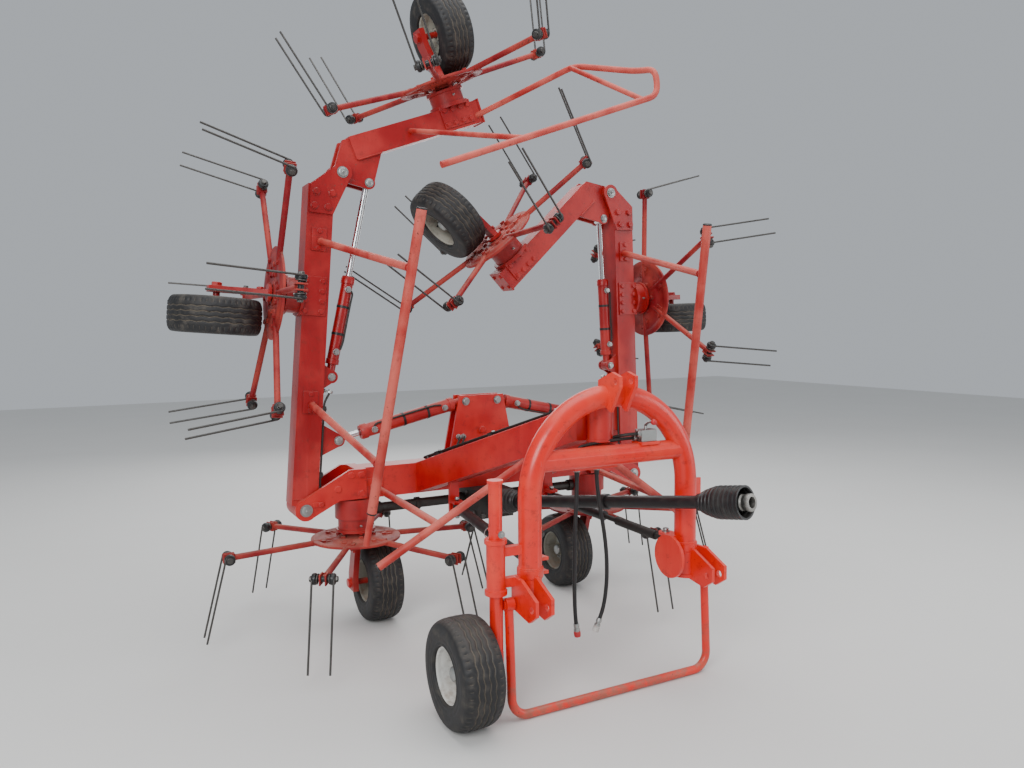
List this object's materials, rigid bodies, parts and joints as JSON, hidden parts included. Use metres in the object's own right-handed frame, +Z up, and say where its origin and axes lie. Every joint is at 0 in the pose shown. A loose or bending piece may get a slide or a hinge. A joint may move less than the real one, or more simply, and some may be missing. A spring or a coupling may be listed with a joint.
{
  "type": "hay tedder",
  "caption": "Mounted hay tedder, folded for transport on its parking stand: rotors with spring tines on hinged wings, three-point headstock and support wheel.",
  "frame": {"origin": "middle of the bounding box at ground level, the machine folded and parked", "axes": "+Z up, -Y the front where the tractor couples, +X to the left side of the machine seen from behind it"},
  "size_m": [3.0042, 2.3389, 3.2709],
  "materials": {
    "red_frame": "satin",
    "red_wing": "weathered satin",
    "red_headstock": "gloss",
    "faded_red": "faded, matte",
    "rotor_red": "worn",
    "cast_grey": "rough",
    "plastic_black": "matte",
    "steel": "worn",
    "rod_chrome": "polished",
    "tyre": "dusty",
    "rim_grey": "dull",
    "rim_light": "dull",
    "rubber": "matte",
    "coupler_red": "satin"
  },
  "bodies": {
    "frame": {"centre_frame": "red_frame", "centre_gearboxes": "red_wing", "main_gearbox": "cast_grey", "centre_guards": "faded_red", "driveline": "plastic_black", "driveline_yoke": "steel"},
    "headstock": {"headstock": "red_headstock", "support_leg": "red_wing", "hose_near": "rubber", "hose_far": "rubber", "coupler_near": "coupler_red", "coupler_far": "rim_light"},
    "stand": {"parking_stand": "red_wing"},
    "inner_wing_near": {"inner_beam_near": "red_wing", "inner_gearbox_near": "red_wing", "inner_guard_near": "faded_red"},
    "outer_wing_near": {"outer_beam_near": "red_wing", "outer_gearbox_near": "red_wing", "outer_guard_near": "faded_red"},
    "inner_wing_far": {"inner_beam_far": "red_wing", "inner_gearbox_far": "red_wing", "inner_guard_far": "faded_red"},
    "outer_wing_far": {"outer_beam_far": "red_wing", "outer_gearbox_far": "red_wing"},
    "fold_barrel_near": {"fold_barrel_near": "red_wing"},
    "fold_rod_near": {"fold_rod_near": "rod_chrome"},
    "tip_barrel_near": {"tip_barrel_near": "red_wing"},
    "tip_rod_near": {"tip_rod_near": "rod_chrome"},
    "fold_barrel_far": {"fold_barrel_far": "red_wing"},
    "fold_rod_far": {"fold_rod_far": "rod_chrome"},
    "tip_barrel_far": {"tip_barrel_far": "red_wing"},
    "tip_rod_far": {"tip_rod_far": "rod_chrome"},
    "damper_tube_near": {"damper_tube_near": "cast_grey"},
    "damper_rod_near": {"damper_rod_near": "plastic_black"},
    "damper_tube_far": {"damper_tube_far": "cast_grey"},
    "damper_rod_far": {"damper_rod_far": "plastic_black"},
    "rotor_centre_near": {"rotor_centre_near": "rotor_red"},
    "rotor_centre_far": {"rotor_centre_far": "rotor_red"},
    "rotor_inner_near": {"rotor_inner_near": "rotor_red"},
    "rotor_inner_far": {"rotor_inner_far": "rotor_red"},
    "rotor_outer_near": {"rotor_outer_near": "rotor_red"},
    "rotor_outer_far": {"rotor_outer_far": "rotor_red"},
    "wheel_support": {"tyre_support": "tyre", "rim_support": "rim_light"},
    "wheel_centre_near": {"tyre_centre_near": "tyre", "rim_centre_near": "rim_grey"},
    "wheel_centre_far": {"tyre_centre_far": "tyre", "rim_centre_far": "rim_grey"},
    "wheel_inner_near": {"tyre_inner_near": "tyre", "rim_inner_near": "rim_grey"},
    "wheel_inner_far": {"tyre_inner_far": "tyre", "rim_inner_far": "rim_grey"},
    "wheel_outer_near": {"tyre_outer_near": "tyre", "rim_outer_near": "rim_grey"},
    "wheel_outer_far": {"tyre_outer_far": "tyre", "rim_outer_far": "rim_grey"}
  },
  "joints": [
    {"name": "headstock_swivel", "type": "hinge", "parent": "frame", "child": "headstock", "pos_m": [0, -0.665, 1.06], "axis": [0, 0, 1], "range_deg": [-15, 15]},
    {"name": "stand_fold", "type": "hinge", "parent": "headstock", "child": "stand", "pos_m": [0, -0.753, 0.44], "axis": [1, 0, 0], "range_deg": [0, 85]},
    {"name": "inner_fold_near", "type": "hinge", "parent": "frame", "child": "inner_wing_near", "pos_m": [-0.93, 0.455, 0.62], "axis": [0, -1, 0], "range_deg": [0, 94.5]},
    {"name": "outer_fold_near", "type": "hinge", "parent": "inner_wing_near", "child": "outer_wing_near", "pos_m": [-0.7171, 0.455, 2.1781], "axis": [0, -1, 0], "range_deg": [0, 65]},
    {"name": "inner_fold_far", "type": "hinge", "parent": "frame", "child": "inner_wing_far", "pos_m": [0.93, 0.455, 0.62], "axis": [0, 1, 0], "range_deg": [0, 92]},
    {"name": "outer_fold_far", "type": "hinge", "parent": "inner_wing_far", "child": "outer_wing_far", "pos_m": [0.78526, 0.455, 2.1859], "axis": [0, 1, 0], "range_deg": [0, 132]},
    {"name": "fold_barrel_swing_near", "type": "hinge", "parent": "frame", "child": "fold_barrel_near", "pos_m": [-0.09, 0.455, 1.08], "axis": [0, -1, 0], "range_deg": [0, 2.1]},
    {"name": "fold_rod_slide_near", "type": "slide", "parent": "fold_barrel_near", "child": "fold_rod_near", "axis": [-0.9746, 0, -0.2238], "range_m": [0, 0.519]},
    {"name": "tip_barrel_swing_near", "type": "hinge", "parent": "inner_wing_near", "child": "tip_barrel_near", "pos_m": [-0.78166, 0.455, 1.23024], "axis": [0, -1, 0], "range_deg": [0, 4.2]},
    {"name": "tip_rod_slide_near", "type": "slide", "parent": "tip_barrel_near", "child": "tip_rod_near", "axis": [0.2142, 0, 0.9768], "range_m": [0, 0.133]},
    {"name": "fold_barrel_swing_far", "type": "hinge", "parent": "frame", "child": "fold_barrel_far", "pos_m": [0.09, 0.455, 1.08], "axis": [0, 1, 0], "range_deg": [0, 3]},
    {"name": "fold_rod_slide_far", "type": "slide", "parent": "fold_barrel_far", "child": "fold_rod_far", "axis": [0.9778, 0, -0.2095], "range_m": [0, 0.507]},
    {"name": "tip_barrel_swing_far", "type": "hinge", "parent": "inner_wing_far", "child": "tip_barrel_far", "pos_m": [0.80842, 0.455, 1.23613], "axis": [0, 1, 0], "range_deg": [-2.3, 0]},
    {"name": "tip_rod_slide_far", "type": "slide", "parent": "tip_barrel_far", "child": "tip_rod_far", "axis": [-0.0618, 0, 0.9981], "range_m": [0, 0.254]},
    {"name": "damper_swing_near", "type": "hinge", "parent": "frame", "child": "damper_tube_near", "pos_m": [-0.262, 0.155, 0.6], "axis": [0, 0, 1], "range_deg": [-0.6, 0.6]},
    {"name": "damper_slide_near", "type": "slide", "parent": "damper_tube_near", "child": "damper_rod_near", "axis": [-0.082, -0.9955, -0.0483], "range_m": [-0.086, 0.086]},
    {"name": "damper_swing_far", "type": "hinge", "parent": "frame", "child": "damper_tube_far", "pos_m": [0.262, 0.155, 0.6], "axis": [0, 0, 1], "range_deg": [-0.6, 0.6]},
    {"name": "damper_slide_far", "type": "slide", "parent": "damper_tube_far", "child": "damper_rod_far", "axis": [0.082, -0.9955, -0.0483], "range_m": [-0.086, 0.086]},
    {"name": "spin_centre_near", "type": "hinge", "parent": "frame", "child": "rotor_centre_near", "pos_m": [-0.67, 0.455, 0.455], "axis": [0, 0, 1], "continuous": true},
    {"name": "spin_centre_far", "type": "hinge", "parent": "frame", "child": "rotor_centre_far", "pos_m": [0.67, 0.455, 0.455], "axis": [0, 0, 1], "continuous": true},
    {"name": "spin_inner_near", "type": "hinge", "parent": "inner_wing_near", "child": "rotor_inner_near", "pos_m": [-1.01682, 0.455, 1.61989], "axis": [0.9969, 0, -0.0785], "continuous": true},
    {"name": "spin_inner_far", "type": "hinge", "parent": "inner_wing_far", "child": "rotor_inner_far", "pos_m": [1.06035, 0.455, 1.61516], "axis": [-0.9994, 0, -0.0349], "continuous": true},
    {"name": "spin_outer_near", "type": "hinge", "parent": "outer_wing_near", "child": "rotor_outer_near", "pos_m": [-0.17883, 0.455, 2.65159], "axis": [0.3502, 0, -0.9367], "continuous": true},
    {"name": "spin_outer_far", "type": "hinge", "parent": "outer_wing_far", "child": "rotor_outer_far", "pos_m": [0.12617, 0.455, 1.90391], "axis": [0.6947, 0, -0.7193], "continuous": true},
    {"name": "roll_support", "type": "hinge", "parent": "headstock", "child": "wheel_support", "pos_m": [-0.63, -0.709, 0.202], "axis": [1, 0, 0], "continuous": true},
    {"name": "roll_centre_near", "type": "hinge", "parent": "frame", "child": "wheel_centre_near", "pos_m": [-0.55, 0.51, 0.202], "axis": [1, 0, 0], "continuous": true},
    {"name": "roll_centre_far", "type": "hinge", "parent": "frame", "child": "wheel_centre_far", "pos_m": [0.55, 0.51, 0.202], "axis": [1, 0, 0], "continuous": true},
    {"name": "roll_inner_near", "type": "hinge", "parent": "inner_wing_near", "child": "wheel_inner_near", "pos_m": [-1.27845, 0.51, 1.52011], "axis": [0.0785, 0, 0.9969], "continuous": true},
    {"name": "roll_inner_far", "type": "hinge", "parent": "inner_wing_far", "child": "wheel_inner_far", "pos_m": [1.31738, 0.51, 1.50406], "axis": [-0.0349, 0, 0.9994], "continuous": true},
    {"name": "roll_outer_near", "type": "hinge", "parent": "outer_wing_near", "child": "wheel_outer_near", "pos_m": [-0.15503, 0.51, 2.93059], "axis": [0.9367, 0, 0.3502], "continuous": true},
    {"name": "roll_outer_far", "type": "hinge", "parent": "outer_wing_far", "child": "wheel_outer_far", "pos_m": [-0.1359, 0.51, 2.00255], "axis": [-0.7193, 0, -0.6947], "continuous": true}
  ],
  "couplings": [
    {"joint": "outer_fold_near", "follows": "inner_fold_near", "ratio": 0.68783},
    {"joint": "inner_fold_far", "follows": "inner_fold_near", "ratio": 0.97354},
    {"joint": "outer_fold_far", "follows": "inner_fold_near", "ratio": 1.3968},
    {"joint": "fold_barrel_swing_near", "follows": "inner_fold_near", "ratio": 0.021503},
    {"joint": "fold_rod_slide_near", "follows": "inner_fold_near", "m_per_rad": 0.31409},
    {"joint": "tip_barrel_swing_near", "follows": "inner_fold_near", "ratio": 0.043501},
    {"joint": "tip_rod_slide_near", "follows": "inner_fold_near", "m_per_rad": 0.08027},
    {"joint": "fold_barrel_swing_far", "follows": "inner_fold_near", "ratio": 0.030389},
    {"joint": "fold_rod_slide_far", "follows": "inner_fold_near", "m_per_rad": 0.30702},
    {"joint": "tip_barrel_swing_far", "follows": "inner_fold_near", "ratio": -0.023454},
    {"joint": "tip_rod_slide_far", "follows": "inner_fold_near", "m_per_rad": 0.15364},
    {"joint": "damper_swing_near", "follows": "headstock_swivel", "ratio": 0.033405},
    {"joint": "damper_slide_near", "follows": "headstock_swivel", "m_per_rad": 0.3255},
    {"joint": "damper_swing_far", "follows": "headstock_swivel", "ratio": 0.033405},
    {"joint": "damper_slide_far", "follows": "headstock_swivel", "m_per_rad": -0.3255},
    {"joint": "spin_centre_far", "follows": "spin_centre_near", "ratio": -1},
    {"joint": "spin_inner_near", "follows": "spin_centre_near", "ratio": -1},
    {"joint": "spin_inner_far", "follows": "spin_centre_near", "ratio": 1},
    {"joint": "spin_outer_near", "follows": "spin_centre_near", "ratio": 1},
    {"joint": "spin_outer_far", "follows": "spin_centre_near", "ratio": -1}
  ]
}
